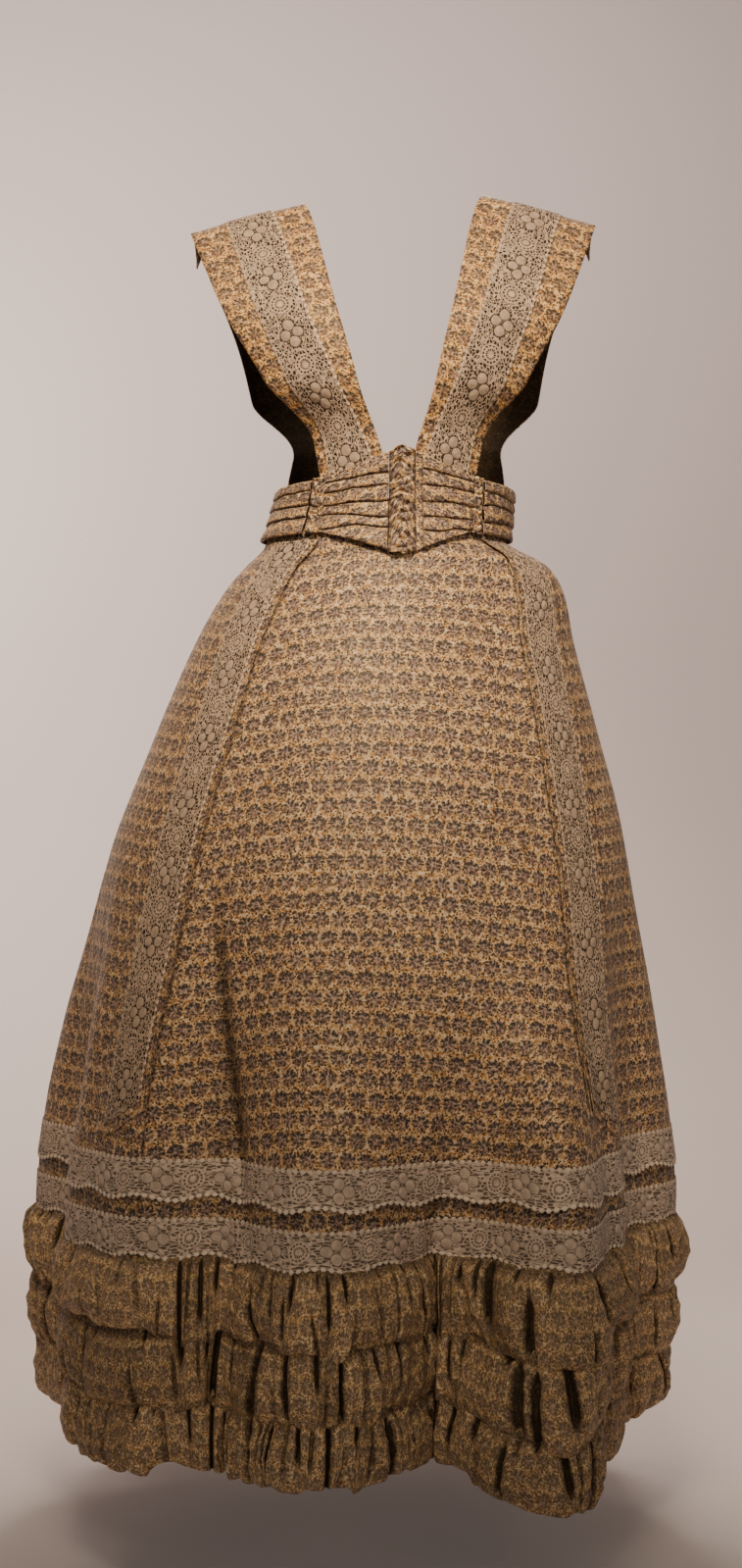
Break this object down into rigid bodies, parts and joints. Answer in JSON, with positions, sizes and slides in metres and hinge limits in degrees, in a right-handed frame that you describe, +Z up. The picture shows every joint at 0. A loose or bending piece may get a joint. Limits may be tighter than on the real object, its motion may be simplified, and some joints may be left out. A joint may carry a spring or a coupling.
{
  "type": "edwardian silk dress",
  "caption": "Floor-length printed silk dress held in its worn shape: wide lace-trimmed shoulder bands, pointed pleated waistband, bell skirt with lace bands and gathered flounces.",
  "frame": {"origin": "centre of the waist, where the wearer holds the dress up, level with the middle of the waistband at its sides", "axes": "+Z up the wearer, -Y the front, +X the wearer's left side"},
  "size_m": [0.7345, 0.7699, 1.3444],
  "materials": {
    "printed_silk": "soft taffeta sheen",
    "lace": "matt cotton lace"
  },
  "bodies": {
    "root": {"belt_back_left": "printed_silk", "belt_back_right": "printed_silk", "belt_front_left": "printed_silk", "belt_front_right": "printed_silk", "belt_side_left": "printed_silk", "belt_side_right": "printed_silk", "bretelle_back_left": "printed_silk", "bretelle_back_right": "printed_silk", "bretelle_front_left": "printed_silk", "bretelle_front_right": "printed_silk", "flounce_bottom_back_left": "printed_silk", "flounce_bottom_back_right": "printed_silk", "flounce_bottom_front": "printed_silk", "flounce_bottom_left": "printed_silk", "flounce_bottom_right": "printed_silk", "flounce_middle_back_left": "printed_silk", "flounce_middle_back_right": "printed_silk", "flounce_middle_front": "printed_silk", "flounce_middle_left": "printed_silk", "flounce_middle_right": "printed_silk", "flounce_top_back_left": "printed_silk", "flounce_top_back_right": "printed_silk", "flounce_top_front": "printed_silk", "flounce_top_left": "printed_silk", "flounce_top_right": "printed_silk", "lace_band_lower": "lace", "lace_band_upper": "lace", "lace_bretelle_left": "lace", "lace_bretelle_right": "lace", "lace_tab_left": "lace", "lace_tab_right": "lace", "ruche_centre": "printed_silk", "ruche_left": "printed_silk", "ruche_right": "printed_silk", "skirt_back_left": "printed_silk", "skirt_back_right": "printed_silk", "skirt_front": "printed_silk", "skirt_left": "printed_silk", "skirt_right": "printed_silk", "tab_left": "printed_silk", "tab_right": "printed_silk"}
  },
  "joints": []
}
